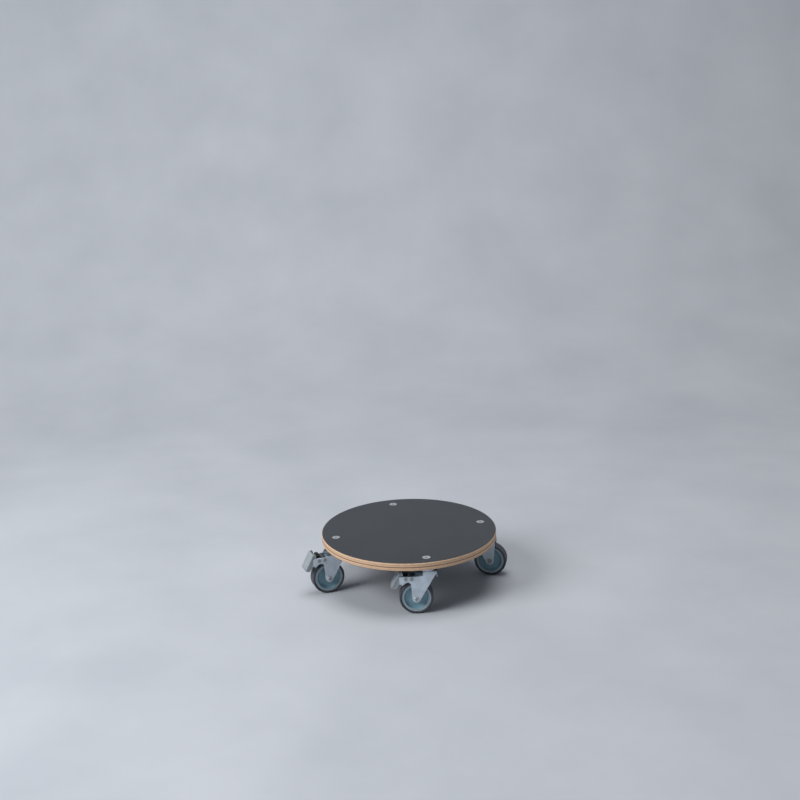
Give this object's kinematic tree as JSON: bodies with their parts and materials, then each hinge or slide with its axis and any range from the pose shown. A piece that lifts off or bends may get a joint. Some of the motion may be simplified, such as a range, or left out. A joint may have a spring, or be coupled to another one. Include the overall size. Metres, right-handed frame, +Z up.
{
  "type": "plant caddy",
  "caption": "Round film-faced plywood caddy that carries a heavy pot close to the floor on swivel casters with foot brakes.",
  "frame": {"origin": "centre of the deck's top face, where a pot stands", "axes": "+Z up, out of the deck; +X towards the plain caster on the right, -Y towards the braked caster at the front"},
  "size_m": [0.4812, 0.4279, 0.128],
  "materials": {
    "birch_plywood": "sawn birch ply, sealed",
    "deck_film": "phenolic film, matt",
    "screw_steel": "zinc plated, bright",
    "zinc_steel": "pressed sheet, blue zinc plated",
    "axle_steel": "zinc plated",
    "ball_steel": "hardened and polished",
    "wheel_plastic": "moulded, dark blue-grey",
    "grey_rubber": "solid rubber, dark grey",
    "black_plastic": "moulded, black"
  },
  "bodies": {
    "deck": {"plywood_board": "birch_plywood", "top_film": "deck_film", "bottom_film": "deck_film", "mounting_screws": "screw_steel", "mounting_nuts": "zinc_steel", "race_balls": "ball_steel", "right_head_cup": "zinc_steel", "right_king_pin": "zinc_steel", "back_head_cup": "zinc_steel", "back_king_pin": "zinc_steel", "left_head_cup": "zinc_steel", "left_king_pin": "zinc_steel", "front_head_cup": "zinc_steel", "front_king_pin": "zinc_steel"},
    "right_swivel": {"right_fork": "zinc_steel", "right_axle_bolt": "axle_steel", "right_axle_nut": "axle_steel", "right_axle_sleeve": "axle_steel"},
    "right_wheel": {"right_wheel_centre": "wheel_plastic", "right_tyre": "grey_rubber"},
    "back_swivel": {"back_fork": "zinc_steel", "back_axle_bolt": "axle_steel", "back_axle_nut": "axle_steel", "back_axle_sleeve": "axle_steel"},
    "back_wheel": {"back_wheel_centre": "wheel_plastic", "back_tyre": "grey_rubber"},
    "left_swivel": {"left_fork": "zinc_steel", "left_axle_bolt": "axle_steel", "left_axle_nut": "axle_steel", "left_axle_sleeve": "axle_steel", "left_pedal_pin": "axle_steel", "left_stop_pin": "axle_steel"},
    "left_wheel": {"left_wheel_centre": "wheel_plastic", "left_tyre": "grey_rubber"},
    "left_pedal": {"left_pedal": "zinc_steel", "left_release_cap": "black_plastic", "left_brake_shoe": "zinc_steel"},
    "front_swivel": {"front_fork": "zinc_steel", "front_axle_bolt": "axle_steel", "front_axle_nut": "axle_steel", "front_axle_sleeve": "axle_steel", "front_pedal_pin": "axle_steel", "front_stop_pin": "axle_steel"},
    "front_wheel": {"front_wheel_centre": "wheel_plastic", "front_tyre": "grey_rubber"},
    "front_pedal": {"front_pedal": "zinc_steel", "front_release_cap": "black_plastic", "front_brake_shoe": "zinc_steel"}
  },
  "joints": [
    {"name": "right_swivel_joint", "type": "hinge", "parent": "deck", "child": "right_swivel", "pos_m": [0.1702, 0, -0.018], "axis": [0, 0, 1], "continuous": true},
    {"name": "right_wheel_joint", "type": "hinge", "parent": "right_swivel", "child": "right_wheel", "pos_m": [0.19207, -0.00988, -0.0905], "axis": [0.4115, 0.9114, 0], "continuous": true},
    {"name": "back_swivel_joint", "type": "hinge", "parent": "deck", "child": "back_swivel", "pos_m": [0, 0.1702, -0.018], "axis": [0, 0, 1], "continuous": true},
    {"name": "back_wheel_joint", "type": "hinge", "parent": "back_swivel", "child": "back_wheel", "pos_m": [0.01272, 0.19055, -0.0905], "axis": [-0.848, 0.5299, 0], "continuous": true},
    {"name": "left_swivel_joint", "type": "hinge", "parent": "deck", "child": "left_swivel", "pos_m": [-0.1702, 0, -0.018], "axis": [0, 0, 1], "continuous": true},
    {"name": "left_wheel_joint", "type": "hinge", "parent": "left_swivel", "child": "left_wheel", "pos_m": [-0.19402, -0.00297, -0.0905], "axis": [0.1236, -0.9923, 0], "continuous": true},
    {"name": "left_pedal_joint", "type": "hinge", "parent": "left_swivel", "child": "left_pedal", "pos_m": [-0.21634, -0.00575, -0.044], "axis": [0.1236, -0.9923, 0], "range_deg": [0, 11.5]},
    {"name": "front_swivel_joint", "type": "hinge", "parent": "deck", "child": "front_swivel", "pos_m": [0, -0.1702, -0.018], "axis": [0, 0, 1], "continuous": true},
    {"name": "front_wheel_joint", "type": "hinge", "parent": "front_swivel", "child": "front_wheel", "pos_m": [-0.02348, -0.16521, -0.0905], "axis": [-0.2079, -0.9781, 0], "continuous": true},
    {"name": "front_pedal_joint", "type": "hinge", "parent": "front_swivel", "child": "front_pedal", "pos_m": [-0.04548, -0.16053, -0.044], "axis": [-0.2079, -0.9781, 0], "range_deg": [0, 11.5]}
  ]
}
